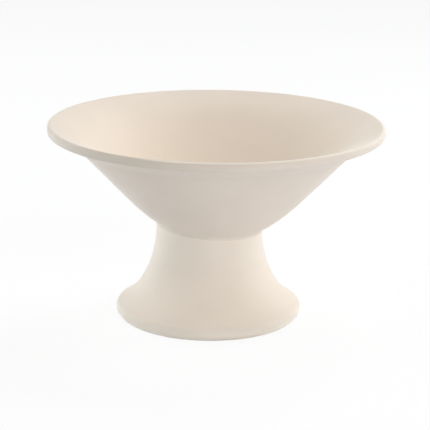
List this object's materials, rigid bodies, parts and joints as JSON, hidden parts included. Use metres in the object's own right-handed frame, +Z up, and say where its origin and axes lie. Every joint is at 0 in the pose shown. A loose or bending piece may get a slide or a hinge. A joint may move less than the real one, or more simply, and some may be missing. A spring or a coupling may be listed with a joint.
{
  "type": "footed compote bowl",
  "caption": "Wide conical ceramic bowl with an everted rounded rim on a hollow flared pedestal foot, for fruit or display.",
  "frame": {"origin": "centre of the foot's standing ring, on the table", "axes": "+Z up along the foot's axis, +X to the right in the front view, the side to which the bowl sits off the foot's axis"},
  "size_m": [0.254, 0.254, 0.1505],
  "materials": {
    "cream_stoneware": "smooth matte fired clay, no gloss",
    "fired_slip": "matte fired slip and clay, a little coarser"
  },
  "bodies": {
    "root": {"bowl": "cream_stoneware", "pedestal_foot": "cream_stoneware", "slip_bond": "fired_slip", "seam_coil": "fired_slip"}
  },
  "joints": []
}
